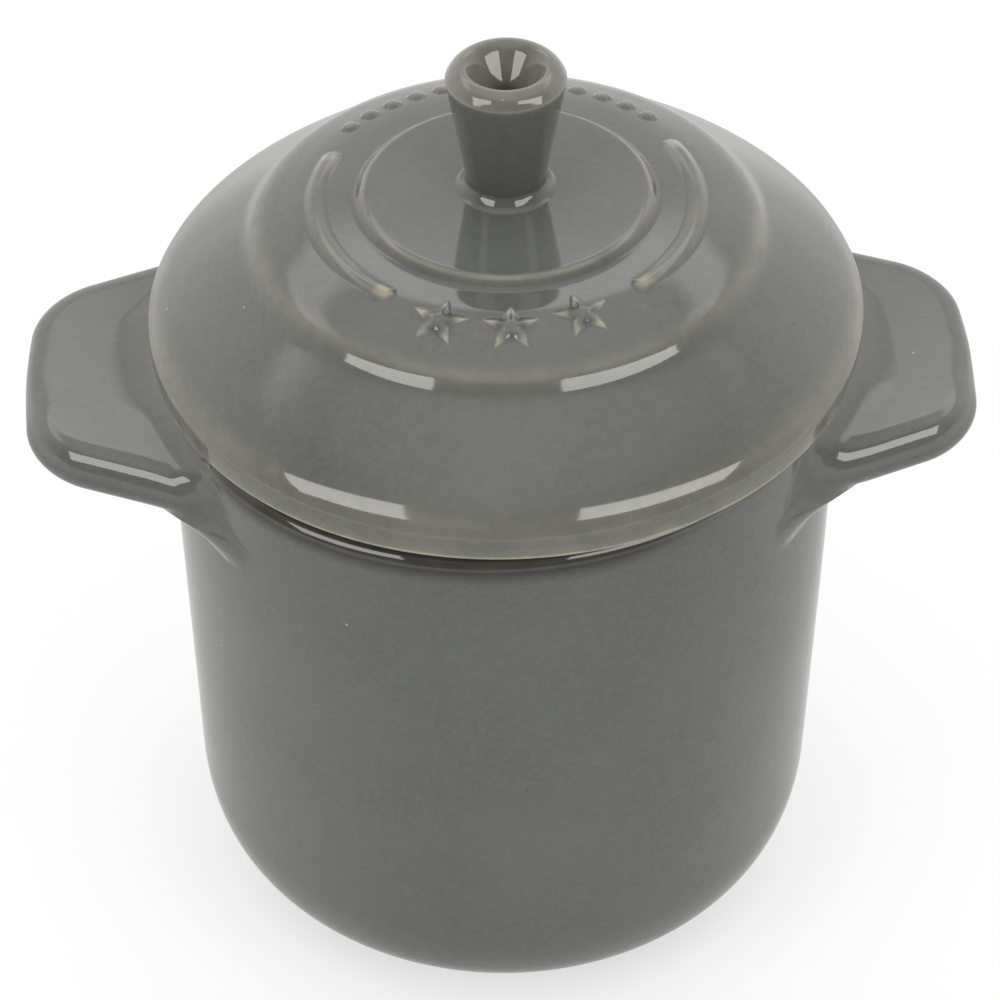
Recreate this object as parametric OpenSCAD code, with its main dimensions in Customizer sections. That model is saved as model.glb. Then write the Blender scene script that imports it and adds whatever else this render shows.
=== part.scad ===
// Mini cocotte: a small straight-sided stoneware pot with two lug handles and a lift-off domed lid.
// The origin is on the ground under the pot's centre, +Z is up, the lugs point along X, the front is -Y.
// The lid is shown in place. It lifts straight up and turns freely about Z.

/* [Pot] */
// Height of the rim's flat seat above the ground
pot_h = 95.4; // [75:0.1:115]
// Outside diameter of the wall at the rim
pot_rim_d = 97.1; // [85:0.1:115]
// How much the wall narrows from the rim to the ground, on the diameter
pot_draft = 4.7; // [0:0.1:8]
// Thickness of the wall
wall_t = 4.6; // [4:0.1:6.5]
// Thickness of the floor
floor_t = 5; // [3.5:0.1:8]
// Rounding between the wall and the base, outside
base_round = 18; // [10:0.1:20]
// Rounding between the wall and the floor, inside
inner_round = 13; // [6:0.1:18]
// Rolled outer edge of the rim
rim_round = 3.4; // [1:0.1:3.6]
// Small rounding of the rim's inner edge
rim_inner_round = 0.7; // [0.3:0.1:0.8]

/* [Foot ring] */
// Outside diameter of the foot ring
foot_d = 55; // [44:0.1:56]
// Width of the foot ring
foot_w = 4.5; // [3:0.1:7]
// Height of the foot ring
foot_h = 1; // [0.6:0.1:3]

/* [Handles] */
// How far a lug stands out from the wall
lug_reach = 19.8; // [15:0.1:26]
// Drop from the rim's seat to the lug's top face
lug_drop = 4.6; // [4.6:0.1:20]
// Thickness of a lug
lug_t = 7.2; // [6:0.1:10]
// Half width of a lug where its rounded corner starts
lug_half_w = 22.3; // [19:0.1:25]
// Angle of the lug's sides, which widen towards the wall
lug_taper = 22; // [4:0.1:24]
// Corner radius of the lug, seen from above
lug_corner_r = 12.8; // [8:0.1:14]
// Rounding of the lug's edges
lug_edge_r = 3.4; // [1:0.1:3.5]
// Bow of the lug's outer edge
lug_bow = 2; // [0:0.1:3]
// Fillet from the lug's top up the wall
lug_top_fillet = 3.5; // [1:0.1:3.5]
// Fillet from the lug's underside down the wall
lug_low_fillet = 8; // [1:0.1:9]
// Fillet from the lug's sides along the wall
lug_side_fillet = 6.5; // [1:0.1:7]

/* [Lid] */
// Overhang of the lid past the pot's rim
lid_overhang = 1.65; // [0.5:0.05:3]
// Height of the top of the lid's upright edge, above the seat
edge_h = 5.45; // [4:0.05:7]
// How much the upright edge leans in towards its foot
edge_lean = 0.3; // [0:0.05:0.8]
// Gap between the seat's level and the foot of the upright edge
edge_gap = 0.8; // [0.3:0.05:1.4]
// Rounding of the lid's lower outer edge
edge_round = 0.6; // [0.3:0.1:1]
// Width of the lid's flat seat on the rim
seat_w = 1.65; // [1:0.05:2.5]
// Distance from the upright edge in to the corner of the skirt
brow_w = 1.65; // [1:0.05:2.5]
// Height of the corner of the skirt above the upright edge
brow_h = 2.5; // [1.5:0.05:3.5]
// Length of the roll from the upright edge to the skirt
edge_roll = 4.3; // [1.5:0.1:5]
// Height of the foot of the step, above the seat
step_h = 17.6; // [15:0.1:20]
// Distance from the lid's edge in to the step's foot
skirt_w = 13.4; // [11:0.1:17]
// Width of the step between plateau and skirt
step_w = 2.4; // [1:0.1:4]
// Rise of the step
step_rise = 2.75; // [1.5:0.05:5]
// Rise of the plateau from the step to the disc
plateau_rise = 2.8; // [1:0.1:4]
// How far the plateau's middle bows up
plateau_bow = 0.6; // [0:0.05:1]
// Diameter of the flat disc in the centre
disc_d = 37.6; // [34:0.1:42]
// Rise of the disc above the plateau
disc_rise = 1.45; // [0.6:0.05:3]
// Width of the disc's sloping edge
disc_edge_w = 2.2; // [0.5:0.1:3]
// Thickness of the lid
lid_t = 5.5; // [4:0.1:7]

/* [Locating ring] */
// Gap between the ring and the pot's mouth
ring_gap = 0.8; // [0.4:0.05:2]
// Thickness of the ring
ring_t = 3.6; // [2.5:0.1:5]
// Depth of the ring below the seat
ring_depth = 4.6; // [3:0.1:8]
// Rounding of the ring's lower edges
ring_round = 1; // [0.3:0.1:1.2]

/* [Knob] */
// Height of the knob
knob_h = 21; // [16:0.1:28]
// Diameter of the knob's waist
knob_waist_d = 10.3; // [8:0.1:13]
// Diameter where the knob's flare turns upright
belly_d = 15.3; // [12:0.1:18]
// Height of the lip's outer edge above that turn
belly_h = 5.1; // [3:0.1:8]
// Largest diameter, at the lip's outer edge
knob_lip_d = 16.3; // [14:0.1:20]
// Height of the lip above its outer edge
lip_rise = 2.1; // [1:0.1:3]
// Fillet at the knob's foot
knob_fillet = 2; // [0.6:0.1:2.5]
// Diameter of the lip's crest
crest_d = 11.9; // [10:0.1:13]
// Diameter of the hollow's floor
hollow_d = 3; // [2:0.1:6]
// Depth of the hollow
hollow_depth = 8.2; // [6:0.1:12]

/* [Raised ornament] */
// Height of the raised arcs, stars and beads
relief_h = 0.75; // [0.4:0.05:1.3]
// Width of the arcs
arc_w = 2.9; // [2:0.1:4]
// Distance of the arcs from the middle of the plateau, towards the centre
arc_in = 1.8; // [0:0.1:2]
// Angle from the front to an arc's nearer end
arc_from = 38; // [34:1:50]
// Angle from the front to an arc's farther end
arc_to = 118; // [100:1:122]
// Diameter of a star across its points, at its foot
star_d = 8.9; // [5:0.1:9]
// Size of a star's top as a share of its foot
star_top = 0.78; // [0.5:0.01:0.95]
// Angle between neighbouring stars
star_pitch = 20.4; // [19:0.1:24]
// Diameter of a bead
bead_d = 2.6; // [2:0.1:3.4]
// Angle between neighbouring beads
bead_pitch = 8; // [8:0.1:9]

/* [Hidden] */
$fn = 120;

glaze = [0.42, 0.43, 0.40];
bare_clay = [0.80, 0.73, 0.62];
bead_count = 13;
steps = 6;

pot_rim_r = pot_rim_d / 2;
pot_base_r = pot_rim_r - pot_draft / 2;
mouth_r = pot_rim_r - wall_t;
floor_z = foot_h + floor_t;
rim_roll = min(rim_round, wall_t - rim_inner_round - 0.3);
lug_round = min(lug_edge_r, lug_t / 2 - 0.15);

lid_r = pot_rim_r + lid_overhang;
foot_r = lid_r - skirt_w;
shoulder_r = foot_r - step_w;
shoulder_z = pot_h + step_h + step_rise;
disc_r = min(disc_d / 2, shoulder_r - 9);
disc_foot_r = disc_r + disc_edge_w;
plateau_z = shoulder_z + plateau_rise;
disc_z = plateau_z + disc_rise;
plateau_mid_r = (disc_foot_r + shoulder_r) / 2;
ring_r = mouth_r - ring_gap;
ring_in_r = ring_r - ring_t;
ornament_r = plateau_mid_r + 0.3;
arc_r = ornament_r - arc_in;

// Corners of the lid's upper side, from the centre outwards
centre = [0, disc_z];
disc_edge = [disc_r, disc_z];
disc_foot = [disc_foot_r, plateau_z];
plateau_mid = [plateau_mid_r, (plateau_z + shoulder_z) / 2 + plateau_bow];
shoulder = [shoulder_r, shoulder_z];
step_foot = [foot_r, pot_h + step_h];
brow = [lid_r - brow_w, pot_h + edge_h + brow_h];

// Slope of the plateau under the stars
ornament_slope = atan((face_z(ornament_r - 3) - face_z(ornament_r + 3)) / 6);

lug_z = pot_h - lug_drop - lug_t / 2;
lug_root_x = wall_r(lug_z) * 0.72;
lug_wall_x = wall_r(lug_z) - 0.6;
lug_tip_x = wall_r(lug_z) + lug_reach;
lug_corner_x = lug_tip_x - lug_corner_r;
lug_corner_y = lug_half_w - lug_corner_r / cos(lug_taper);

// Outside radius of the pot's wall at a height
function wall_r(z) = pot_base_r + (pot_rim_r - pot_base_r) * z / pot_h;

// Points of the lid's plateau, from the foot of the disc to the shoulder
function plateau_line() = concat(
    soft(disc_edge, disc_foot, plateau_mid, 1.2),
    soft(disc_foot, plateau_mid, shoulder, 3.5),
    soft(plateau_mid, shoulder, step_foot, 3.1)
);

// Height of the lid's plateau at a radius
function face_z(r) = lookup(r, plateau_line());

// A point on the way from a corner towards its neighbour, no farther than half of it
function towards(p, q, d) = p + (q - p) * min(d / norm(q - p), 0.49);

// Points of a curve that softens the corner p between a and b, starting at the distance d from it
function soft(a, p, b, d) = [
    for (i = [0 : steps])
        let (t = i / steps)
        (1 - t) * (1 - t) * towards(p, a, d) + 2 * t * (1 - t) * p + t * t * towards(p, b, d)
];

// Points of an arc in the profile plane
function arc(c, r, from, to, n = 10) = [
    for (i = [0 : n])
        let (w = from + (to - from) * i / n)
        [c[0] + r * cos(w), c[1] + r * sin(w)]
];

// Pot

function wall_lean() = atan((pot_rim_r - pot_base_r) / pot_h);

function rounding_x(r_wall, z, r) = r_wall + (z * (pot_rim_r - pot_base_r)) / pot_h - r / cos(wall_lean());

module pot_body() {
    out_z = foot_h + base_round;
    out_x = rounding_x(pot_base_r, out_z, base_round);
    in_z = floor_z + inner_round;
    in_x = rounding_x(pot_base_r - wall_t, in_z, inner_round);
    roll_z = pot_h - rim_roll;
    roll_x = wall_r(roll_z) - rim_roll / cos(wall_lean());
    lip = [mouth_r + rim_inner_round, pot_h - rim_inner_round];
    color(glaze)
        rotate_extrude()
            polygon(concat(
                [[0, foot_h]],
                arc([out_x, out_z], base_round, -90, -wall_lean()),
                arc([roll_x, roll_z], rim_roll, -wall_lean(), 90),
                arc(lip, rim_inner_round, 90, 180, 4),
                arc([in_x, in_z], inner_round, -wall_lean(), -90),
                [[0, floor_z]]
            ));
}

module foot_ring() {
    color(bare_clay)
        difference() {
            cylinder(h = foot_h, d = foot_d);
            translate([0, 0, -1])
                cylinder(h = foot_h + 2, d = foot_d - 2 * foot_w);
        }
}

// Handles

// Drop of a rounded edge, at a distance from where the rounding ends
function round_drop(r, d) = d >= r ? 0 : r - sqrt(max(0, r * r - (r - max(0, d)) * (r - max(0, d))));

// Half width of a lug at x, with its outline moved in by inset. It stops widening where it meets the wall.
function lug_half(x, inset) =
    x < lug_corner_x + (lug_corner_r - inset) * sin(lug_taper)
        ? lug_half_w + (lug_corner_x - max(x, lug_wall_x)) * tan(lug_taper) - inset / cos(lug_taper)
        : lug_corner_y + sqrt(max(0, pow(lug_corner_r - inset, 2) - pow(x - lug_corner_x, 2)));

// Half thickness of a lug at x, which runs out in a rounding at the tip
function lug_half_t(x) = lug_t / 2 - round_drop(lug_round, lug_tip_x - x);

// How far the outline moves in at a height above the lug's middle
function lug_inset(z) = round_drop(lug_round, lug_t / 2 - abs(z));

// Point of the lug's skin, flared where it runs into the wall. The flare stops short of lying along the wall.
function lug_point(x, y, z, half, thick) =
    let (
        d = max(0, norm([x, y]) - wall_r(lug_z)) + 0.7,
        rise = z > 0 ? round_drop(lug_top_fillet, d) : round_drop(lug_low_fillet, d),
        side = round_drop(lug_side_fillet, d) * pow(y / half, 3),
        bow = lug_bow * pow(y / lug_half_w, 2) * (x - lug_root_x) / (lug_tip_x - lug_root_x)
    )
    [x - bow, y + side, lug_z + z + rise * z / thick];

lug_across = 12;
lug_around = 6;
lug_slices = concat(
    [for (i = [0 : 25]) lug_root_x + (lug_tip_x - lug_round - lug_root_x) * i / 25],
    [for (i = [1 : 6]) lug_tip_x - lug_round * (1 - sin(90 * i / 6))]
);
lug_ring_count = 2 * (lug_across + lug_around);

// One closed ring of skin points at x, up one side, across the top, down the other side and back
function lug_ring(x) =
    let (thick = lug_half_t(x), half = lug_half(x, 0), narrow = lug_half(x, lug_inset(thick)))
    concat(
        [for (j = [0 : lug_around - 1])
            let (z = thick * sin(-90 + 180 * j / lug_around))
            lug_point(x, lug_half(x, lug_inset(z)), z, half, thick)],
        [for (j = [0 : lug_across - 1]) lug_point(x, narrow * (1 - 2 * j / lug_across), thick, half, thick)],
        [for (j = [0 : lug_around - 1])
            let (z = thick * sin(90 - 180 * j / lug_around))
            lug_point(x, -lug_half(x, lug_inset(z)), z, half, thick)],
        [for (j = [0 : lug_across - 1]) lug_point(x, -narrow * (1 - 2 * j / lug_across), -thick, half, thick)]
    );

module lug() {
    n = len(lug_slices);
    m = lug_ring_count;
    rings = [for (x = lug_slices) each lug_ring(x)];
    ends = [[lug_root_x, 0, lug_z], [lug_tip_x, 0, lug_z]];
    skin = [
        for (i = [0 : n - 2], k = [0 : m - 1])
            let (a = i * m + k, b = i * m + (k + 1) % m)
            each [[a, b, b + m], [a, b + m, a + m]]
    ];
    root_cap = [for (k = [0 : m - 1]) [n * m, (k + 1) % m, k]];
    tip_cap = [for (k = [0 : m - 1]) [n * m + 1, (n - 1) * m + k, (n - 1) * m + (k + 1) % m]];
    difference() {
        polyhedron(points = concat(rings, ends), faces = concat(skin, root_cap, tip_cap), convexity = 4);
        cylinder(h = pot_h, r1 = pot_base_r, r2 = pot_rim_r);
    }
}

module right_handle() {
    color(glaze)
        lug();
}

module left_handle() {
    color(glaze)
        mirror([1, 0, 0])
            lug();
}

// Lid

module lid_shell() {
    edge_top = [lid_r, pot_h + edge_h];
    edge_low = [lid_r - edge_lean, pot_h + edge_gap];
    seat_edge = [mouth_r + seat_w, pot_h];
    inner_low = [ring_in_r, pot_h];
    inner_edge = [ring_in_r, pot_h + edge_h + brow_h - 0.45];
    inner_step = [shoulder_r - 2, shoulder_z - lid_t - 0.5];
    inner_top = [0, disc_z - lid_t];
    color(glaze)
        rotate_extrude()
            polygon(concat(
                [centre],
                soft(centre, disc_edge, disc_foot, 1.5),
                plateau_line(),
                soft(shoulder, step_foot, brow, 1.1),
                soft(step_foot, brow, edge_top, edge_roll),
                soft(brow, edge_top, edge_low, 0.5),
                soft(edge_top, edge_low, seat_edge, edge_round),
                [seat_edge, inner_low],
                soft(inner_low, inner_edge, inner_step, 3),
                soft(inner_edge, inner_step, inner_top, 4),
                [inner_top]
            ));
}

module lid_ring() {
    low_z = pot_h - ring_depth;
    color(glaze)
        rotate_extrude()
            polygon(concat(
                [[ring_in_r, pot_h]],
                arc([ring_in_r + ring_round, low_z + ring_round], ring_round, 180, 270, 4),
                arc([ring_r - ring_round, low_z + ring_round], ring_round, 270, 360, 4),
                [[ring_r, pot_h]]
            ));
}

module lid_knob() {
    waist_r = knob_waist_d / 2;
    lip_r = knob_lip_d / 2;
    top_z = disc_z + knob_h;
    lip_z = top_z - lip_rise;
    base = [waist_r + knob_fillet, disc_z];
    waist = [waist_r, disc_z + knob_fillet * 0.4];
    belly = [belly_d / 2, lip_z - belly_h];
    lip = [lip_r, lip_z];
    lip_mid = [lip_r - 0.75, top_z - lip_rise * 0.29];
    crest = [crest_d / 2, top_z + 0.35];
    hollow = [hollow_d / 2, top_z - hollow_depth];
    floor_mid = [0, top_z - hollow_depth - 0.6];
    color(glaze)
        rotate_extrude()
            polygon(concat(
                [[0, disc_z], base],
                soft(base, waist, belly, knob_fillet),
                soft(waist, belly, lip, 4),
                soft(belly, lip, lip_mid, 0.35),
                soft(lip, lip_mid, crest, 1),
                soft(lip_mid, crest, hollow, 0.9),
                soft(crest, hollow, floor_mid, 1.3),
                [floor_mid]
            ));
}

// Raised ornament, each piece cut off at the plateau that it stands on

module on_plateau() {
    difference() {
        children();
        rotate_extrude()
            polygon(concat(
                [[disc_r, disc_z - 20]],
                plateau_line(),
                [[foot_r, disc_z - 20]]
            ));
    }
}

module raised_arc() {
    r = (arc_w * arc_w / 4 + relief_h * relief_h) / (2 * relief_h);
    mid = [arc_r, face_z(arc_r) + relief_h - r];
    color(glaze)
        on_plateau()
            union() {
                rotate([0, 0, arc_from - 90])
                    rotate_extrude(angle = arc_to - arc_from)
                        translate(mid)
                            circle(r = r);
                for (w = [arc_from, arc_to])
                    rotate([0, 0, w - 90])
                        translate([mid[0], 0, mid[1]])
                            sphere(r = r - 0.1);
            }
}

module right_arc() {
    raised_arc();
}

module left_arc() {
    mirror([1, 0, 0])
        raised_arc();
}

module star_outline(d) {
    polygon([
        for (i = [0 : 9])
            let (r = i % 2 == 0 ? d / 2 : d / 5, w = 90 + 36 * i)
            [r * cos(w), r * sin(w)]
    ]);
}

module star(turn) {
    // The tapered block starts this far under the plateau, which cuts its root off
    root = 1;
    widening = 1 + (1 - star_top) * root / relief_h;
    color(glaze)
        on_plateau()
            rotate([0, 0, turn])
                translate([0, -ornament_r, face_z(ornament_r)])
                    rotate([ornament_slope, 0, 0])
                        translate([0, 0, -root])
                            linear_extrude(height = relief_h + root, scale = star_top / widening)
                                star_outline(star_d * widening);
}

module left_star() {
    star(-star_pitch);
}

module middle_star() {
    star(0);
}

module right_star() {
    star(star_pitch);
}

module bead_row() {
    r = (bead_d * bead_d / 4 + relief_h * relief_h) / (2 * relief_h);
    color(glaze)
        for (i = [0 : bead_count - 1])
            on_plateau()
                rotate([0, 0, 90 + (i - (bead_count - 1) / 2) * bead_pitch])
                    translate([ornament_r, 0, face_z(ornament_r) + relief_h - r])
                        sphere(r = r);
}

pot_body();
foot_ring();
left_handle();
right_handle();
lid_ring();
lid_shell();
lid_knob();
left_arc();
right_arc();
left_star();
middle_star();
right_star();
bead_row();
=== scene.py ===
import math

import bpy
import numpy as np
from mathutils import Matrix, Vector


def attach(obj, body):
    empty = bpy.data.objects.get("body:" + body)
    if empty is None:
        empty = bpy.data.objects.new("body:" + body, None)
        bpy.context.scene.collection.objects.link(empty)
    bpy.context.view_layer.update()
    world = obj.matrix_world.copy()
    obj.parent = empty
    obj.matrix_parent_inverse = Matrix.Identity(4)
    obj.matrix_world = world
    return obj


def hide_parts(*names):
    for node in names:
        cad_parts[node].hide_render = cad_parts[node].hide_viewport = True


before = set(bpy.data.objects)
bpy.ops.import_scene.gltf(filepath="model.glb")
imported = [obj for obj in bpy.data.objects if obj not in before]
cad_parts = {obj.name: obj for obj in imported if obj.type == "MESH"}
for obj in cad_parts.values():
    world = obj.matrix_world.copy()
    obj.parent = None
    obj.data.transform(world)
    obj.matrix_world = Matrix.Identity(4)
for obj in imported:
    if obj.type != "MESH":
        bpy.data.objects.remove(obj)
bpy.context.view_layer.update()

MM = 0.001

# Sizes in millimetres. These are the solids' own.
POT_H = 95.4
RIM_R = 48.55
FOOT_WALL_R = 46.2
WALL = 4.6
FLOOR_Z = 6.0
FOOT_H = 1.0
FOOT_OUT_R = 27.5
FOOT_IN_R = 23.0
LUG_Z = 87.2
LUG_TIP = 68.15
LID_SEAT = POT_H
RING_OUT_R = 43.15
RING_IN_R = 39.55
RING_END = 90.8
DISC_Z = 120.0

# These are the scene's own, close to the solids'. The last three are lengths that a rounding takes off each side.
RIM_TOP = 94.8
RIM_ROLL = 2.2
ORNAMENT_R = 28.5
ARC_R = 26.5
BASE_ROUND = 18.4
FLOOR_ROUND = 17.0
MOUTH_ROUND = 0.7


# Outlines and meshes

CURVE_STEPS = 41
MOST_OF_SIDE = 0.49
AXIS_GAP = 0.03
NEAR_AXIS = 0.5
MOST_BEND = 4


def softened(corners, pitch=0.03):
    """A fine line through (r, z, cut) corners.

    Each corner is rounded by a curve that begins and ends at most cut away from it.
    """
    line = []
    last = len(corners) - 1
    for i, (r, z, cut) in enumerate(corners):
        here = np.array([r, z], float)
        if i in (0, last) or cut == 0:
            line.append(here[None])
            continue
        before = np.array(corners[i - 1][:2], float) - here
        after = np.array(corners[i + 1][:2], float) - here
        start = here + before * min(cut / np.hypot(*before), MOST_OF_SIDE)
        end = here + after * min(cut / np.hypot(*after), MOST_OF_SIDE)
        t = np.linspace(0, 1, CURVE_STEPS)[:, None]
        line.append((1 - t) ** 2 * start + 2 * t * (1 - t) * here + t ** 2 * end)
    line = np.concatenate(line)
    length = np.concatenate([[0], np.cumsum(np.hypot(*np.diff(line, axis=0).T))])
    keep = np.concatenate([[True], np.diff(length) > 1e-6])
    line, length = line[keep], length[keep]
    s = np.linspace(0, length[-1], int(length[-1] / pitch) + 2)
    return np.stack([np.interp(s, length, line[:, 0]), np.interp(s, length, line[:, 1])], 1)


def spaced(line, longest, turn=4.0, window=13):
    """The line with fewer points, at most longest apart and with about turn degrees of bend between them."""
    step = np.diff(line, axis=0)
    heading = np.unwrap(np.arctan2(step[:, 1], step[:, 0]))
    bend = np.abs(np.diff(heading, prepend=heading[0]))
    bend = np.convolve(np.pad(bend, window // 2, mode="edge"), np.ones(window) / window, mode="valid")
    cost = np.concatenate([[0], np.cumsum(np.hypot(*step.T) / longest + bend / math.radians(turn))])
    at = np.linspace(0, cost[-1], int(math.ceil(cost[-1])) + 1)
    return np.stack([np.interp(at, cost, line[:, 0]), np.interp(at, cost, line[:, 1])], 1)


def revolved(line, columns, loop=False):
    """Vertices and faces of the line turned about Z. An open line that ends near the axis is capped there."""
    angle = np.arange(columns) * 2 * math.pi / columns
    r = np.maximum(line[:, 0], AXIS_GAP)
    grid = np.stack(
        [np.outer(r, np.cos(angle)), np.outer(r, np.sin(angle)), np.repeat(line[:, 1:2], columns, 1)], 2
    )
    rows = len(line)
    i = np.arange(rows if loop else rows - 1)[:, None]
    j = np.arange(columns)[None]
    up, side = (i + 1) % rows, (j + 1) % columns
    faces = np.stack([i * columns + j, i * columns + side, up * columns + side, up * columns + j], 2)
    faces = faces.reshape(-1, 4).tolist()
    if not loop:
        if line[0, 0] < NEAR_AXIS:
            faces.append(list(range(columns))[::-1])
        if line[-1, 0] < NEAR_AXIS:
            faces.append(list(range((rows - 1) * columns, rows * columns)))
    return grid.reshape(-1, 3), faces


def flipped(faces):
    return [f[::-1] for f in faces]


def radius(points):
    return np.hypot(points[..., 0], points[..., 1])


def only_used(points, faces):
    """The points that the faces use, the faces on those points, and which points they were."""
    used = np.unique(faces)
    number = np.zeros(len(points), int)
    number[used] = np.arange(len(used))
    return points[used], number[faces], used


def polygon_away(x, y, corners):
    """Distance outside the polygon, under 0 inside it."""
    near = np.full(x.shape, 1e9)
    inside = np.zeros(x.shape, bool)
    for (ax, ay), (bx, by) in zip(corners, np.roll(corners, -1, 0)):
        ex, ey = bx - ax, by - ay
        t = np.clip(((x - ax) * ex + (y - ay) * ey) / (ex * ex + ey * ey), 0, 1)
        near = np.minimum(near, np.hypot(x - ax - t * ex, y - ay - t * ey))
        inside ^= ((ay > y) != (by > y)) & (x < ex * (y - ay) / np.where(ey == 0, 1e-9, ey) + ax)
    return np.where(inside, -near, near)


def curvature(points, triangles):
    """Sum of both curvatures at each vertex in 1/mm, over 0 where the surface stands out."""
    total = np.zeros_like(points)
    area = np.zeros(len(points))
    normal = np.zeros_like(points)
    for k in range(3):
        a, b, c = (triangles[:, (k + m) % 3] for m in range(3))
        u, v = points[b] - points[a], points[c] - points[a]
        cross = np.cross(u, v)
        size = np.linalg.norm(cross, axis=1)
        cot = np.einsum("ij,ij->i", u, v) / np.maximum(size, 1e-9)
        edge = (points[b] - points[c]) * (cot * 0.5)[:, None]
        np.add.at(total, b, edge)
        np.add.at(total, c, -edge)
        np.add.at(area, a, size / 6)
        np.add.at(normal, a, cross)
    normal /= np.maximum(np.linalg.norm(normal, axis=1), 1e-12)[:, None]
    return np.einsum("ij,ij->i", total, normal) / np.maximum(area, 1e-9)


def spread(value, triangles, times):
    """The value evened out over neighbours."""
    edges = np.concatenate([triangles[:, [0, 1]], triangles[:, [1, 2]], triangles[:, [2, 0]]])
    for _ in range(times):
        total, count = value.copy(), np.ones(len(value))
        np.add.at(total, edges[:, 0], value[edges[:, 1]])
        np.add.at(count, edges[:, 0], 1)
        value = total / count
    return value


def smooth_step(low, high, x):
    """From 0 at low to 1 at high. It falls with x where low is the larger."""
    t = np.clip((x - low) / (high - low), 0, 1)
    return t * t * (3 - 2 * t)


def hump(x, middle, wide):
    return np.exp(-((x - middle) / wide) ** 2)


def keep_glaze(mesh, points, even, thin_and_lit, painted_shade, bare):
    """Keep at each vertex where the glaze thins, with painted light added on parts of the lid, where glaze gathers
    or shade is painted, and where the clay is bare.

    Where the thinning or the darkening isn't given, it comes from the mesh's curvature, evened out so many times.
    """
    mesh.calc_loop_triangles()
    triangles = np.zeros(len(mesh.loop_triangles) * 3, np.int32)
    mesh.loop_triangles.foreach_get("vertices", triangles)
    triangles = triangles.reshape(-1, 3)
    bend = spread(np.clip(curvature(points, triangles), -MOST_BEND, MOST_BEND), triangles, even)
    for kind, value in (
        ("ridge_and_lit", smooth_step(0.28, 1.5, bend) if thin_and_lit is None else thin_and_lit),
        ("pool_and_shade", 0.35 * smooth_step(0.1, 1.0, -bend) if painted_shade is None else painted_shade),
        ("bare", np.zeros(len(points)) if bare is None else bare),
    ):
        layer = mesh.attributes.new(kind, "FLOAT", "POINT")
        layer.data.foreach_set("value", value.astype(np.float32))


def piece(
    name, points, faces, body, material, stands_for,
    normals=None, even=2, bare=None, thin_and_lit=None, painted_shade=None,
):
    """A smooth mesh in the shared frame that rides on a body in place of the solids that it stands for."""
    mesh = bpy.data.meshes.new(name)
    mesh.from_pydata((points * MM).tolist(), [], faces)
    mesh.update()
    keep_glaze(mesh, points, even, thin_and_lit, painted_shade, bare)
    mesh.shade_smooth()
    if normals is not None:
        mesh.normals_split_custom_set_from_vertices(normals.tolist())
    made = bpy.data.objects.new(name, mesh)
    bpy.context.scene.collection.objects.link(made)
    made.data.materials.append(material)
    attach(made, body)
    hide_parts(*stands_for)
    return made


# Materials

GLAZE_DARK = (0.084, 0.087, 0.078, 1)
GLAZE_LIGHT = (0.096, 0.099, 0.090, 1)
GLAZE_GRAIN = (0.112, 0.115, 0.104, 1)
# Dark glaze where it gathers, also laid on as painted shade.
GLAZE_POOL_AND_SHADE = (0.013, 0.012, 0.009, 1)
# Tan where the glaze thins, also laid on the lid as painted light.
GLAZE_THIN_AND_LIT = (0.33, 0.29, 0.205, 1)
SPECK = (0.42, 0.39, 0.32, 1)
PINHOLE = (0.035, 0.034, 0.03, 1)
SPOT_SHARE = 0.7
CLAY = (0.52, 0.43, 0.32, 1)
CLAY_DARK = (0.44, 0.36, 0.26, 1)
CLAY_LIGHT = (0.60, 0.50, 0.38, 1)
CLAY_SAND = (0.30, 0.24, 0.17, 1)
WHITE = (1, 1, 1, 1)
BUMP_H = 0.0001


def node(tree, kind, inputs=None, **settings):
    made = tree.nodes.new(kind)
    for key, value in settings.items():
        setattr(made, key, value)
    for key, value in (inputs or {}).items():
        if isinstance(value, bpy.types.NodeSocket):
            tree.links.new(value, made.inputs[key])
        else:
            made.inputs[key].default_value = value
    return made


def blend_colour(tree, share, first, second):
    made = tree.nodes.new("ShaderNodeMix")
    made.data_type = "RGBA"
    for socket, value in ((made.inputs[0], share), (made.inputs[6], first), (made.inputs[7], second)):
        if isinstance(value, bpy.types.NodeSocket):
            tree.links.new(value, socket)
        else:
            socket.default_value = value
    return made.outputs[2]


def mapped(tree, value, low, high, to_low, to_high, kind="SMOOTHSTEP"):
    return node(
        tree, "ShaderNodeMapRange",
        {"Value": value, "From Min": low, "From Max": high, "To Min": to_low, "To Max": to_high},
        interpolation_type=kind,
    ).outputs["Result"]


def maths(tree, how, first, second):
    return node(tree, "ShaderNodeMath", {0: first, 1: second}, operation=how).outputs[0]


def noise(tree, where, scale, detail, roughness):
    return node(
        tree, "ShaderNodeTexNoise", {"Vector": where, "Scale": scale, "Detail": detail, "Roughness": roughness}
    ).outputs["Fac"]


def kept_value(tree, name):
    return node(tree, "ShaderNodeAttribute", attribute_name=name).outputs["Fac"]


def spots(tree, cells, pick, over, core, edge):
    """1 on a spot in the middle of each cell whose pick is over so much, and 0 elsewhere."""
    return maths(
        tree, "MULTIPLY",
        mapped(tree, cells.outputs["Distance"], core, edge, 1, 0), mapped(tree, pick, over, over + 0.02, 0, 1),
    )


def empty_material(name):
    material = bpy.data.materials.new(name)
    material.use_nodes = True
    tree = material.node_tree
    tree.nodes.clear()
    out = tree.nodes.new("ShaderNodeOutputMaterial")
    return material, tree, out


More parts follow.
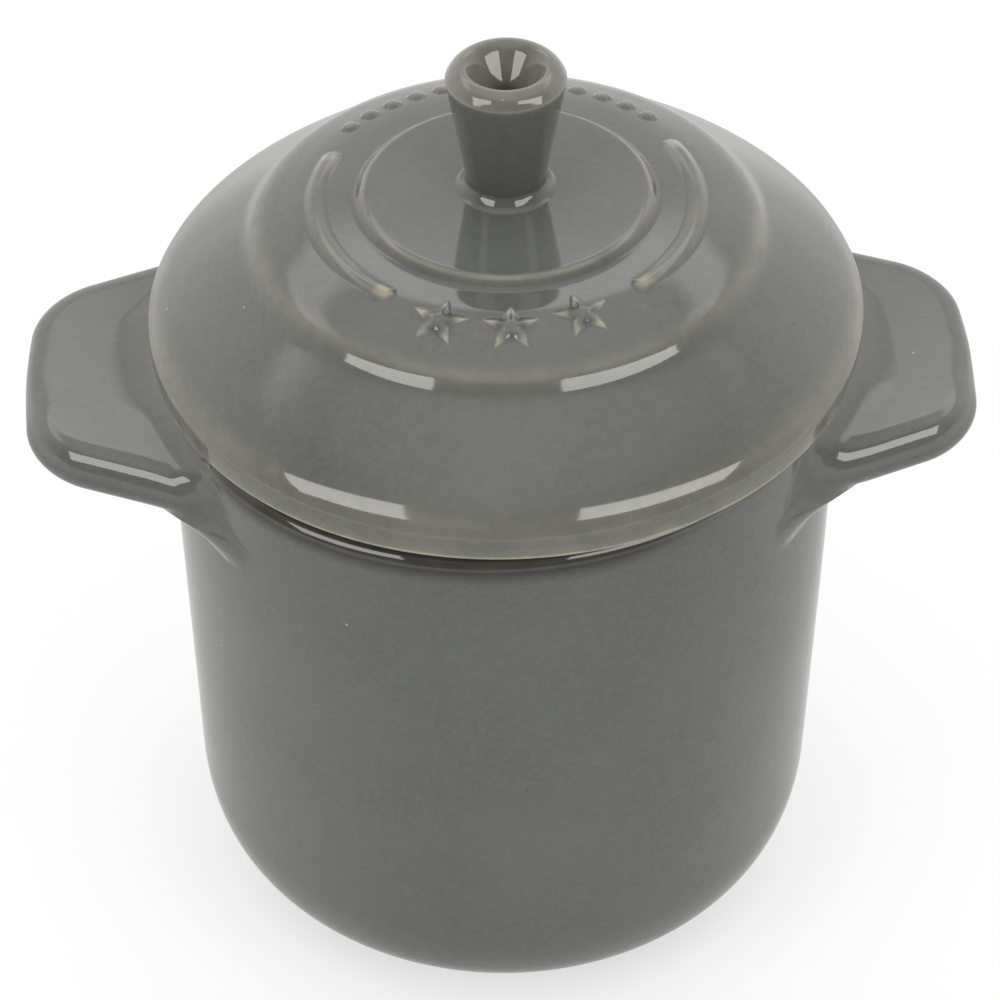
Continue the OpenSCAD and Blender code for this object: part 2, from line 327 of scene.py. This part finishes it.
def glaze_colour(tree, cloud, grain, thin_and_lit, pale, hole, bare):
    """Faint clouds and grain, dark where the glaze gathers and where shade is painted, tan where the glaze thins
    and where light is painted, spotted, and clay where bare.
    """
    colour = blend_colour(tree, mapped(tree, cloud, 0.3, 0.7, 0, 1), GLAZE_DARK, GLAZE_LIGHT)
    colour = blend_colour(tree, mapped(tree, grain, 0.35, 0.7, 0, 0.5), colour, GLAZE_GRAIN)
    # Dark where glaze gathers in hollows, and painted shade under the lid's edge, on the knob's wall and at the
    # disc's foot.
    colour = blend_colour(tree, mapped(tree, kept_value(tree, "pool_and_shade"), 0, 1, 0, 0.9), colour, GLAZE_POOL_AND_SHADE)
    # Tan where the glaze thins; on the lid's shoulder, brow and band this tint is also painted light.
    colour = blend_colour(tree, thin_and_lit, colour, GLAZE_THIN_AND_LIT)
    colour = blend_colour(tree, maths(tree, "MULTIPLY", pale, SPOT_SHARE), colour, SPECK)
    colour = blend_colour(tree, maths(tree, "MULTIPLY", hole, SPOT_SHARE), colour, PINHOLE)
    return blend_colour(tree, bare, colour, CLAY)


def glaze_material():
    """Grey gloss glaze with a slightly wavy face, a few pale specks and pinholes."""
    material, tree, out = empty_material("grey_glaze")
    where = tree.nodes.new("ShaderNodeTexCoord").outputs["Object"]
    bare = kept_value(tree, "bare")
    cloud = noise(tree, where, 42, 3, 0.55)
    grain = noise(tree, where, 900, 3, 0.6)
    uneven = mapped(tree, noise(tree, where, 210, 2, 0.5), 0.3, 0.7, 0.55, 1.15)
    thin_and_lit = maths(tree, "MINIMUM", maths(tree, "MULTIPLY", kept_value(tree, "ridge_and_lit"), uneven), 0.85)
    cells = node(tree, "ShaderNodeTexVoronoi", {"Vector": where, "Scale": 170, "Randomness": 1.0}, feature="F1")
    picked = node(tree, "ShaderNodeSeparateColor", {"Color": cells.outputs["Color"]})
    pale = spots(tree, cells, picked.outputs["Red"], 0.80, 0.022, 0.045)
    hole = spots(tree, cells, picked.outputs["Green"], 0.85, 0.025, 0.05)
    gloss = mapped(tree, cloud, 0.3, 0.7, 0.045, 0.07)
    gloss = maths(tree, "ADD", gloss, maths(tree, "MULTIPLY", thin_and_lit, 0.08))
    gloss = maths(tree, "ADD", gloss, maths(tree, "MULTIPLY", bare, 0.6))
    wave = noise(tree, where, 130, 1, 0.4)
    relief = maths(tree, "ADD", wave, maths(tree, "MULTIPLY", grain, 0.02))
    relief = maths(tree, "SUBTRACT", relief, maths(tree, "MULTIPLY", hole, 0.4))
    bump = node(tree, "ShaderNodeBump", {"Height": relief, "Strength": 0.12, "Distance": BUMP_H})
    shader = node(
        tree, "ShaderNodeBsdfPrincipled",
        {
            "Base Color": glaze_colour(tree, cloud, grain, thin_and_lit, pale, hole, bare),
            "Roughness": gloss,
            "Normal": bump.outputs["Normal"],
            "IOR": 1.55,
        },
    )
    tree.links.new(shader.outputs["BSDF"], out.inputs["Surface"])
    return material


def clay_material():
    """Unglazed stoneware, sandy and matte."""
    material, tree, out = empty_material("bare_clay")
    where = tree.nodes.new("ShaderNodeTexCoord").outputs["Object"]
    cloud = noise(tree, where, 120, 4, 0.6)
    sand = noise(tree, where, 2600, 2, 0.7)
    colour = blend_colour(tree, mapped(tree, cloud, 0.3, 0.7, 0, 1), CLAY_DARK, CLAY_LIGHT)
    colour = blend_colour(tree, mapped(tree, sand, 0.55, 0.75, 0, 0.6), colour, CLAY_SAND)
    bump = node(tree, "ShaderNodeBump", {"Height": sand, "Strength": 0.4, "Distance": BUMP_H})
    shader = node(
        tree, "ShaderNodeBsdfPrincipled",
        {
            "Base Color": colour,
            "Roughness": mapped(tree, sand, 0.3, 0.7, 0.75, 0.95),
            "Normal": bump.outputs["Normal"],
        },
    )
    tree.links.new(shader.outputs["BSDF"], out.inputs["Surface"])
    return material


glaze = glaze_material()
clay = clay_material()


# Pot

POT_PITCH = 2.6
POT_COLUMNS = 512
RIM_STEPS = 25
RIM_OVAL = 1.8
RIM_TILT = 0.014


def wall_r(z):
    """Radius of the outer wall at height z."""
    return FOOT_WALL_R + (RIM_R - FOOT_WALL_R) * z / POT_H


roll_slope = (RIM_R - FOOT_WALL_R) / POT_H
lean = math.hypot(1, roll_slope)
roll_centre = (wall_r(RIM_TOP - RIM_ROLL) - RIM_ROLL * lean, RIM_TOP - RIM_ROLL)


def pot_outline():
    """Line from the middle of the underside, up the wall and over the rim to the middle of the floor."""
    turn = np.linspace(math.atan2(-roll_slope, 1), math.pi / 2, RIM_STEPS)
    rim = np.stack([roll_centre[0] + RIM_ROLL * np.cos(turn), roll_centre[1] + RIM_ROLL * np.sin(turn)], 1)
    outside = softened([(0, FOOT_H, 0), (wall_r(FOOT_H), FOOT_H, BASE_ROUND), (rim[0, 0], rim[0, 1], 0)])
    inside = softened(
        [
            (rim[-1, 0], RIM_TOP, 0),
            (wall_r(POT_H) - WALL, RIM_TOP, MOUTH_ROUND),
            (wall_r(FLOOR_Z) - WALL, FLOOR_Z, FLOOR_ROUND),
            (0, FLOOR_Z, 0),
        ]
    )
    return np.concatenate([spaced(outside, POT_PITCH), rim[1:-1], spaced(inside, POT_PITCH)])


def fired(p):
    """Points of the pot as the kiln left it: the rim a little oval, and higher at the right than at the left."""
    x, y, z = p.T
    r = np.maximum(np.hypot(x, y), 1e-6)
    near = smooth_step(56, 49, r) * smooth_step(43.6, 47, r)
    swell = RIM_OVAL * x * y / r ** 3 * smooth_step(50, 94, z) * near
    return p + np.stack([x * swell, y * swell, RIM_TILT * x * smooth_step(88, 94, z) * near], 1)


points, faces = revolved(pot_outline(), POT_COLUMNS)
x, z = points[:, 0], points[:, 2]
# Painted shade: the top of the rim's roll, under the lid's edge, is darkened as if shadowed by the lid, most
# across the front and fading out to both sides.
under_lid = smooth_step(92.0, 92.8, z) * smooth_step(44.4, 45.6, radius(points))
painted_shade = under_lid * smooth_step(34, 10, x) * smooth_step(-45, -36, x)
piece("pot_body_glazed", fired(points), faces, "pot", glaze, ["pot_body"], painted_shade=painted_shade)

foot = [
    (FOOT_OUT_R, FOOT_H, 0), (FOOT_OUT_R, 0.0, 0.35), (FOOT_IN_R, 0.0, 0.35), (FOOT_IN_R, FOOT_H, 0),
    (25, FOOT_H, 0), (FOOT_OUT_R, FOOT_H, 0),
]
points, faces = revolved(spaced(softened(foot), 0.8, 15)[:-1], 256, loop=True)
piece("foot_ring_bare", points, flipped(faces), "pot", clay, ["foot_ring"])


# Lugs: a slab, bevelled along its top and rounded below, that runs into the wall by a hollow fillet

TAPER = math.radians(22)
CORNER = 12.8
HALF_W = 22.3
HALF_T = 3.6
BOW = 2.0
LUG_ROOT = 42
SPINE_START = 20
BEVEL = math.radians(36)
BEVEL_CUT = 0.35
BEVEL_FRONT_CUT = 1.45
TOP_SOFT = 1.0
UNDER_SOFT = 3.6
FILLET = 4.2
UNDER_FILLET = 3.0
SINK = 0.06
RIM_SINK = 0.1
LUG_LOW = (30, -40, 72)
LUG_HIGH = (70, 40, 96.5)
LUG_PITCH = 0.34

corner_x = LUG_TIP - CORNER
corner_y = HALF_W - CORNER / math.cos(TAPER)
root_y = corner_y + (corner_x - LUG_ROOT) * math.tan(TAPER)
spine_half = [(SPINE_START, root_y), (LUG_ROOT, root_y), (corner_x, corner_y)]
SPINE = spine_half + [(x, -y) for x, y in reversed(spine_half)]


def wall_away(p):
    """Distance outside the pot's wall and its rolled rim."""
    r = radius(p)
    flat = (r - wall_r(p[:, 2])) / lean
    along, up = r - roll_centre[0], p[:, 2] - roll_centre[1]
    return np.where(up > -roll_slope * along, np.hypot(along, up) - RIM_ROLL, flat)


def larger(a, b, soft):
    """The larger of both, rounded off where they are about equal."""
    return np.maximum(a, b) + np.maximum(soft - np.abs(a - b), 0) ** 2 / (4 * soft)


def lug_parts(p, out, back):
    """Distances from the slab, moved out and back by so much, and from the wall, and the fillet between them."""
    x, y, z = p[:, 0] - out, p[:, 1] - back, p[:, 2] - LUG_Z
    reach = np.clip((x - LUG_ROOT) / (LUG_TIP - LUG_ROOT), 0, 1) ** 2
    plan = polygon_away(x + BOW * (y / HALF_W) ** 2 * reach, y, SPINE) - CORNER
    over, under = z - HALF_T, -z - HALF_T
    bevel = plan * math.cos(BEVEL) + over * math.sin(BEVEL) + BEVEL_CUT + BEVEL_FRONT_CUT * smooth_step(2, -12, y)
    bevel_soft = 1.4 + 1.1 * smooth_step(-14, -2, y)
    slab = larger(larger(larger(plan, over, TOP_SOFT), bevel, bevel_soft), under, UNDER_SOFT)
    fillet = FILLET + UNDER_FILLET * np.clip(-z / HALF_T, 0, 1) ** 2
    top = smooth_step(0.5, 3.5, z) * smooth_step(0, -13, plan)
    sink = SINK + RIM_SINK * smooth_step(91.0, 92.5, p[:, 2])
    return slab, (wall_away(p) + sink) * (1 - 0.5 * top), fillet


def lug_away(p, out, back):
    """Distance outside the slab and the wall, joined by the fillet."""
    slab, wall, fillet = lug_parts(p, out, back)
    u, v = np.maximum(fillet - slab, 0), np.maximum(fillet - wall, 0)
    return np.maximum(fillet, np.minimum(slab, wall)) - np.hypot(u, v)


def slope_of(f, p, h=0.02):
    rows = [(f(p + h * axis) - f(p - h * axis)) / (2 * h) for axis in np.eye(3)]
    return np.stack(rows, 1)


def unit(way):
    return way / np.linalg.norm(way, axis=1)[:, None]


def other_axes(axis):
    return [k for k in range(3) if k != axis]


def cell_points(value, corner):
    """One point in each grid cell that the surface crosses, the cells' numbers, and the grid edges it crosses."""
    shape = value.shape
    cell = tuple(n - 1 for n in shape)
    total, count = np.zeros(cell + (3,)), np.zeros(cell)
    crossings = []
    for axis in range(3):
        first = tuple(slice(None, -1) if k == axis else slice(None) for k in range(3))
        second = tuple(slice(1, None) if k == axis else slice(None) for k in range(3))
        a, b = value[first], value[second]
        hit = (a < 0) != (b < 0)
        t = np.where(hit, a / np.where(hit, a - b, 1), 0)
        at = corner[first] + t[..., None] * (corner[second] - corner[first])
        crossings.append((axis, hit, a < 0))
        for shifts in ((0, 0), (0, 1), (1, 0), (1, 1)):
            cut = [slice(None)] * 3
            for k, shift in zip(other_axes(axis), shifts):
                cut[k] = slice(shift, shape[k] - 1 + shift)
            cut = tuple(cut)
            total += np.where(hit[cut][..., None], at[cut], 0)
            count += hit[cut]
    used = count > 0
    number = np.full(cell, -1)
    number[used] = np.arange(used.sum())
    return total[used] / count[used][:, None], number, crossings


def cell_faces(number, crossings):
    """A four-sided face about each crossed grid edge, between the points of the cells round it."""
    faces = []
    for axis, hit, inward in crossings:
        others = other_axes(axis)
        where = np.argwhere(hit)
        where = where[np.all([(where[:, k] > 0) & (where[:, k] < number.shape[k]) for k in others], 0)]
        around = []
        for shifts in ((-1, -1), (0, -1), (0, 0), (-1, 0)):
            cell = where.copy()
            for k, shift in zip(others, shifts):
                cell[:, k] += shift
            around.append(number[tuple(cell.T)])
        quad = np.stack(around, 1)
        flip = inward[tuple(where.T)] ^ (axis == 1)
        quad[~flip] = quad[~flip][:, ::-1]
        faces.append(quad)
    return np.concatenate(faces)


def level_surface(f, low, high, pitch, rounds=6):
    """Vertices, moved onto f = 0, and four-sided faces of that surface in a box."""
    axes = [np.arange(a, b + pitch, pitch) for a, b in zip(low, high)]
    corner = np.stack(np.meshgrid(*axes, indexing="ij"), -1)
    value = f(corner.reshape(-1, 3)).reshape(corner.shape[:3])
    points, number, crossings = cell_points(value, corner)
    for _ in range(rounds):
        g = slope_of(f, points)
        points = points - (f(points) / np.maximum((g * g).sum(1), 1e-6))[:, None] * g
    return points, cell_faces(number, crossings)


def lug(name, side, out, back):
    """A lug with its fillet, which ends on the wall and on top of the rim with the wall's own normals."""
    def shape(p):
        return lug_away(p, out, back)

    points, faces = level_surface(shape, LUG_LOW, LUG_HIGH, LUG_PITCH)
    slab, wall, fillet = lug_parts(points, out, back)
    kept = (slab < fillet) & (wall > -0.5) & (radius(points) > roll_centre[0] - 1)
    points, faces, used = only_used(points, faces[kept[faces].all(1)])
    onto_wall = smooth_step(0.62, 0.88, (slab / fillet)[used])[:, None]
    way = unit(slope_of(shape, points))
    way = unit(way * (1 - onto_wall) + slope_of(wall_away, points) * onto_wall)
    if side < 0:
        points, way, faces = points * (-1, 1, 1), way * (-1, 1, 1), faces[:, ::-1]
    piece(
        name + "_glazed", fired(points), faces.tolist(), "pot", glaze, [name],
        normals=way, even=8,
    )


# The two lugs were set by hand and stand a little differently.
lug("right_handle", 1, -0.4, 0.6)
lug("left_handle", -1, 0.5, 0.6)


# Lid

LID_COLUMNS = 512
LID_AT = (0.24, -0.49)
LID_WIDER = 0.36
LID_SKEW = 0.75
LID_LONGER = 0.15
LID_UP = 0.86
EDGE_UP = 0.76
LID_TILT = (0.0099, 0.0016)
KNOB_PIVOT_Z = 140
KNOB_LEAN = (-0.004, 0.05)

# Corners as (r, z, cut): disc, plateau, step, skirt and edge, then back under the lid
disc_and_plateau = [
    (0, DISC_Z, 0), (19.8, DISC_Z, 0.7), (21.1, 118.55, 0.6), (27.7, 118.1, 3.5), (34.6, 115.25, 2.9),
]
skirt_and_edge = [(36.55, 112.45, 1.1), (48.85, 102.35, 4.3), (50.4, 99.6, 0.5), (50.1, 95.9, 0.5)]
under_side = [
    (45.6, LID_SEAT, 0.4), (RING_IN_R, LID_SEAT, 0.6), (RING_IN_R, 102.9, 3), (32.4, 109.75, 4), (0, 114.5, 0),
]
lid_fine = softened(disc_and_plateau + skirt_and_edge + under_side)


def settled(p):
    """Points of the loose lid as it lies on the pot.

    It is slightly oval and higher at the right, and its edge is bent up off the rim.
    """
    x, y, z = p[..., 0], p[..., 1], p[..., 2]
    r = np.maximum(np.hypot(x, y), 1e-6)
    outer = smooth_step(30, 46, r)
    swell = outer * (LID_WIDER + LID_SKEW * x * y / r ** 2 + LID_LONGER * (y * y - x * x) / r ** 2) / r
    free = np.maximum(smooth_step(95.6, 97, z), smooth_step(46.5, 49.5, r))
    rise = free * (LID_UP + EDGE_UP * outer + LID_TILT[0] * x + LID_TILT[1] * y)
    return p + np.stack([LID_AT[0] + x * swell, LID_AT[1] + y * swell, rise], -1)


points, faces = revolved(spaced(lid_fine, 1.6, 3.0), LID_COLUMNS)
r, z = radius(points), points[:, 2]
disc_edge = hump(r, 19.9, 0.35) * (z > 118)
shoulder = hump(r, 34.9, 1.1) * (z > 112)
brow = hump(z, 101.4, 1.4) * (r > 47)
lower_edge = smooth_step(96.8, 96.3, z) * smooth_step(49.2, 49.7, r)
# Tan where the glaze thins at the disc's edge, shoulder, brow and lower edge. The shoulder and brow are tinted
# more, and the upright band is tinted, as painted light in place of brighter reflections.
thin_and_lit = 0.33 * disc_edge + 0.2 * shoulder + 0.1 * (r > 49.9) + 0.2 * brow + 0.9 * lower_edge
# Painted shade in the crease round the foot of the disc.
painted_shade = 0.3 * hump(r, 21.1, 0.6) * (z > 117)
piece(
    "lid_shell_glazed", settled(points), flipped(faces), "lid", glaze, ["lid_shell"],
    thin_and_lit=thin_and_lit, painted_shade=painted_shade,
)

ring = [
    (RING_IN_R, LID_SEAT, 0), (RING_IN_R, RING_END, 1.0), (RING_OUT_R, RING_END, 1.0), (RING_OUT_R, LID_SEAT, 0),
    (41.3, LID_SEAT, 0), (RING_IN_R, LID_SEAT, 0),
]
points, faces = revolved(spaced(softened(ring), 0.8, 8)[:-1], 384, loop=True)
worn = smooth_step(91.5, 91.2, points[:, 2]) * 0.9
piece("lid_ring_glazed", points, faces, "lid_carrier", glaze, ["lid_ring"], bare=worn)

knob_hollow = [(0, 132.0, 0), (1.4, 132.6, 1.0), (2.0, 135.5, 0.6), (4.9, 139.7, 0.6)]
knob_lip = [(6.0, 140.7, 0.8), (7.45, 139.95, 1.0), (8.3, 138.4, 0.35)]
knob_stem = [(5.5, 121.5, 0.5), (6.45, 120.35, 0.4), (7.1, 119.95, 0)]
points, faces = revolved(spaced(softened(knob_hollow + knob_lip + knob_stem), 1.0, 3.5), 224)
r, z = radius(points), points[:, 2]
lip_edge = hump(z, 138.4, 0.3) * (r > 7.6)
thin_and_lit = 0.2 * lip_edge + 0.18 * np.maximum(smooth_step(138.0, 138.8, z), r < 4.9)
# Painted shade and painted reflection: the knob's wall below the lip is darkened in place of the dark lid it
# mirrors and the light it misses, facing down.
painted_shade = 0.26 * smooth_step(138.2, 137.2, z) * (r > 4.5)
leaning = np.stack([KNOB_LEAN[0] * (z - DISC_Z), KNOB_LEAN[1] * (KNOB_PIVOT_Z - z), 0 * z], 1)
piece(
    "lid_knob_glazed", settled(points) + leaning, flipped(faces), "lid", glaze, ["lid_knob"],
    thin_and_lit=thin_and_lit, painted_shade=painted_shade,
)


# Raised ornament on the lid: patches that lie on its face and rise out of it

STAR_H = 0.75
STAR_POINT_R = 4.15
STAR_NOTCH_R = 1.75
STARS = (("left_star", -21.6, 28.0), ("middle_star", -1.6, 28.0), ("right_star", 18.9, 27.4))
ARC_H = 0.6
ARC_FROM = 38
ARC_TO = 118
ARC_END = 1.1
ARC_MARGIN = 6
BEAD_H = 0.75
BEAD_R = 1.4
BEAD_PITCH = 8
BEADS_EACH_SIDE = 6
BEAD_SWEEP = 52
FLUSH = 1e-4
SUNK = 0.006

upper = lid_fine[: int(np.argmax(lid_fine[:, 0]))]
face_r, face_z = upper[:, 0], upper[:, 1]
face_slope = np.gradient(face_z, face_r)


def on_face(r, angle, height):
    """Points at radius r and angle from the front, raised along the lid's face by height."""
    z = np.interp(r, face_r, face_z)
    slant = np.interp(r, face_r, face_slope)
    size = np.hypot(1, slant)
    out, up = -slant / size, 1 / size
    reach = r + height * out
    return settled(np.stack([reach * np.sin(angle), -reach * np.cos(angle), z + height * up], -1))


def evened(grid, times):
    """The grid blurred along both of its directions."""
    for _ in range(times):
        for axis in (0, 1):
            grid = 0.5 * grid + 0.25 * (np.roll(grid, 1, axis) + np.roll(grid, -1, axis))
    return grid


def raised(name, r, angle, height, thin_and_lit, node_name):
    """A patch from grids of radius, angle, height and thinness, cut back to where it stands out of the lid."""
    at = on_face(r, angle, np.where(height > FLUSH, height, 0) - SUNK)
    rows, columns = r.shape
    i, j = np.meshgrid(np.arange(rows - 1), np.arange(columns - 1), indexing="ij")
    quads = np.stack(
        [i * columns + j, (i + 1) * columns + j, (i + 1) * columns + j + 1, i * columns + j + 1], -1
    ).reshape(-1, 4)
    quads = quads[(height.reshape(-1)[quads] > FLUSH).any(1)]
    points, quads, used = only_used(at.reshape(-1, 3), quads)
    p = points[quads]
    facing = np.cross(p[:, 1] - p[:, 0], p[:, 2] - p[:, 0])[:, 2].mean()
    if facing < 0:
        quads = quads[:, ::-1]
    return piece(
        name, points, quads.tolist(), "lid", glaze, [node_name], even=3, thin_and_lit=thin_and_lit.reshape(-1)[used]
    )


def add_star(name, turn, away):
    """A puffed five-pointed star at turn degrees from the front, tan along its points."""
    spokes = np.arange(10) * math.pi / 5
    point_r = np.where(np.arange(10) % 2 == 0, STAR_POINT_R, STAR_NOTCH_R)
    outline = np.stack([point_r * np.sin(spokes), point_r * np.cos(spokes)], 1)
    fine = np.arange(-5.2, 5.21, 0.11)
    inward, across = np.meshgrid(fine, fine, indexing="ij")
    depth = -polygon_away(across * (1 - 0.04 * inward), inward / 0.94, outline)
    height = STAR_H * np.maximum(evened(smooth_step(-0.2, 1.1, depth), 12) - 0.02, 0)
    thin_and_lit = smooth_step(1.5, 3.0, np.hypot(inward, across)) * smooth_step(-0.1, 0.35, depth)
    raised(name + "_glazed", away - inward, math.radians(turn) + across / away, height, thin_and_lit, name)


def add_arc(name, side):
    """A rounded rib along the plateau, tan at both of its ends."""
    sweep = np.radians(np.arange(ARC_FROM - ARC_MARGIN, ARC_TO + ARC_MARGIN + 0.01, 0.3))
    off, angle = np.meshgrid(np.arange(-2.6, 2.61, 0.12), sweep, indexing="ij")
    low, high = math.radians(ARC_FROM) + ARC_END / ARC_R, math.radians(ARC_TO) - ARC_END / ARC_R
    beyond = np.maximum(np.maximum(low - angle, angle - high), 0) * ARC_R
    depth = 1.5 - np.hypot(off, beyond * 1.2)
    height = ARC_H * smooth_step(-0.3, 1.35, depth)
    from_end = np.minimum(angle - low, high - angle) * ARC_R
    thin_and_lit = (0.12 + 0.7 * smooth_step(2.4, 0.3, from_end)) * smooth_step(0.1, 1.0, depth)
    raised(name + "_glazed", ARC_R + off, side * angle, height, thin_and_lit, name)


def add_beads():
    """A row of round beads about the middle of the back."""
    sweep = np.radians(np.arange(180 - BEAD_SWEEP, 180 + BEAD_SWEEP + 0.01, 0.22))
    off, angle = np.meshgrid(np.arange(-2.0, 2.01, 0.1), sweep, indexing="ij")
    nearest = np.round((np.degrees(angle) - 180) / BEAD_PITCH)
    gone = np.hypot(off, (np.degrees(angle) - 180 - BEAD_PITCH * nearest) * math.pi / 180 * ORNAMENT_R)
    dome = np.maximum(1 - (gone / BEAD_R) ** 2, 0) * (np.abs(nearest) < BEADS_EACH_SIDE + 0.5)
    height = BEAD_H * np.maximum(evened(dome, 4) - 0.02, 0)
    raised("bead_row_glazed", ORNAMENT_R + off, angle, height, 0.45 * smooth_step(1.3, 0.3, gone), "bead_row")


for name, turn, away in STARS:
    add_star(name, turn, away)
add_arc("left_arc", -1)
add_arc("right_arc", 1)
add_beads()


# Floor, light and camera

FLOOR_HALF = 4
FLOOR_GREY = (0.86, 0.86, 0.86, 1)
LAMP_AWAY = 0.8
LAMP_AIM = 0.09
FOCAL_PX = 3711.74
PICTURE_PX = 1000
SENSOR = 36


def floor_material():
    """White ground: it shades under the object and is plain white further out."""
    material, tree, out = empty_material("white_floor")
    path = tree.nodes.new("ShaderNodeLightPath")
    seen = maths(tree, "MAXIMUM", path.outputs["Is Camera Ray"], path.outputs["Is Glossy Ray"])
    seen = maths(tree, "MAXIMUM", seen, path.outputs["Is Transmission Ray"])
    where = tree.nodes.new("ShaderNodeNewGeometry").outputs["Position"]
    away = node(tree, "ShaderNodeVectorMath", {0: where}, operation="LENGTH").outputs["Value"]
    share = maths(tree, "MULTIPLY", seen, mapped(tree, away, 0.03, 0.15, 0.6, 1))
    matte = node(tree, "ShaderNodeBsdfDiffuse", {"Color": FLOOR_GREY})
    mirrored = mapped(tree, away, 0.18, 0.45, 0.68, 1.15)
    strength = mapped(tree, path.outputs["Is Glossy Ray"], 0, 1, 1, mirrored, "LINEAR")
    white = node(tree, "ShaderNodeEmission", {"Color": WHITE, "Strength": strength})
    mix = node(tree, "ShaderNodeMixShader", {0: share, 1: matte.outputs[0], 2: white.outputs[0]})
    tree.links.new(mix.outputs[0], out.inputs["Surface"])
    return material


def add_floor():
    mesh = bpy.data.meshes.new("floor")
    corners = [(a * FLOOR_HALF, b * FLOOR_HALF, 0) for a, b in ((-1, -1), (1, -1), (1, 1), (-1, 1))]
    mesh.from_pydata(corners, [], [(0, 1, 2, 3)])
    floor = bpy.data.objects.new("floor", mesh)
    bpy.context.scene.collection.objects.link(floor)
    floor.data.materials.append(floor_material())


def add_studio():
    """A white room: brighter overhead, darker low in front, a little brighter low behind, with a band behind."""
    world = bpy.data.worlds.new("studio")
    bpy.context.scene.world = world
    world.use_nodes = True
    tree = world.node_tree
    tree.nodes.clear()
    out = tree.nodes.new("ShaderNodeOutputWorld")
    path = tree.nodes.new("ShaderNodeLightPath")
    way = node(tree, "ShaderNodeSeparateXYZ", {0: tree.nodes.new("ShaderNodeTexCoord").outputs["Generated"]})
    back, up = way.outputs["Y"], way.outputs["Z"]
    low_front = maths(
        tree, "MULTIPLY", mapped(tree, back, -0.3, 0.1, 0.57, 0), mapped(tree, up, 0.62, 0.85, 1, 0)
    )
    level = maths(tree, "SUBTRACT", mapped(tree, up, 0.7, 0.95, 0.95, 1.3), low_front)
    low_back = maths(tree, "MULTIPLY", mapped(tree, back, 0.0, 0.5, 0, 0.3), mapped(tree, up, 0.5, 0.7, 1, 0))
    level = maths(tree, "ADD", level, low_back)
    behind = mapped(tree, back, 0.0, 0.3, 0, 1.55)
    band = maths(tree, "MULTIPLY", mapped(tree, up, 0.58, 0.66, 0, 1), mapped(tree, up, 0.74, 0.80, 1, 0))
    level = maths(tree, "ADD", level, maths(tree, "MULTIPLY", behind, band))
    level = maths(tree, "MAXIMUM", level, path.outputs["Is Camera Ray"])
    sky = node(tree, "ShaderNodeBackground", {"Color": WHITE, "Strength": level})
    tree.links.new(sky.outputs[0], out.inputs["Surface"])


def placed(across, upward, toward, spot):
    """Matrix of an object at spot with these X, Y and Z directions."""
    return Matrix([(across[k], upward[k], toward[k], spot[k]) for k in range(3)] + [(0, 0, 0, 1)])


def panel(name, azimuth, elevation, wide, tall, dip, radiance, mirrored):
    """A soft rectangular lamp, with all angles in degrees. Dip lowers its end away from the front."""
    a, e, lower = math.radians(azimuth), math.radians(elevation), math.radians(dip)
    away = Vector((math.sin(a) * math.cos(e), -math.cos(a) * math.cos(e), math.sin(e)))
    aside = Vector((math.cos(a), math.sin(a), 0)) * math.copysign(1, azimuth)
    upward = Vector((-math.sin(a) * math.sin(e), math.cos(a) * math.sin(e), math.cos(e)))
    long = aside * math.cos(lower) - upward * math.sin(lower)
    lamp = bpy.data.lights.new(name, "AREA")
    lamp.shape = "RECTANGLE"
    lamp.size = 2 * LAMP_AWAY * math.tan(math.radians(wide) / 2)
    lamp.size_y = 2 * LAMP_AWAY * math.tan(math.radians(tall) / 2)
    lamp.energy = radiance * math.pi * lamp.size * lamp.size_y
    made = bpy.data.objects.new(name, lamp)
    bpy.context.scene.collection.objects.link(made)
    made.matrix_world = placed(long, away.cross(long), away, away * LAMP_AWAY + Vector((0, 0, LAMP_AIM)))
    made.visible_camera = False
    made.visible_glossy = mirrored
    made.visible_diffuse = not mirrored


def add_lamps():
    """Two soft boxes in front. The glaze mirrors each as three, brighter to the middle; the fill only lights."""
    for kind, share, radiance, mirrored in (
        ("shine", 1, 5.4, True), ("glow", 0.62, 1.6, True), ("core", 0.28, 2.2, True), ("fill", 1, 4.6, False)
    ):
        panel("left_" + kind, -51.2, 28.2, 33, 21 * share, 23, radiance, mirrored)
        panel("right_" + kind, 45, 28.5, 44, 18.5 * share, 23, radiance, mirrored)


def add_camera():
    """The photograph's viewpoint, with its distance and aim in millimetres."""
    azimuth, elevation, roll = math.radians(-2.9), math.radians(41.192), math.radians(0.054)
    away = 550
    aim_z, aim_left = 63.293, 0.559
    back = Vector(
        (math.sin(azimuth) * math.cos(elevation), -math.cos(azimuth) * math.cos(elevation), math.sin(elevation))
    )
    right = Vector((math.cos(azimuth), math.sin(azimuth), 0))
    up = back.cross(right)
    turned_right = math.cos(roll) * right + math.sin(roll) * up
    turned_up = -math.sin(roll) * right + math.cos(roll) * up
    spot = (Vector((0, 0, aim_z)) - aim_left * right + away * back) * MM
    lens = bpy.data.cameras.new("camera")
    lens.sensor_width = SENSOR
    lens.lens = FOCAL_PX / PICTURE_PX * SENSOR
    lens.clip_start, lens.clip_end = 0.01, 50
    camera = bpy.data.objects.new("camera", lens)
    bpy.context.scene.collection.objects.link(camera)
    camera.matrix_world = placed(turned_right, turned_up, back, spot)
    bpy.context.scene.camera = camera


add_floor()
add_studio()
add_lamps()
add_camera()
bpy.context.scene.view_settings.view_transform = "Standard"
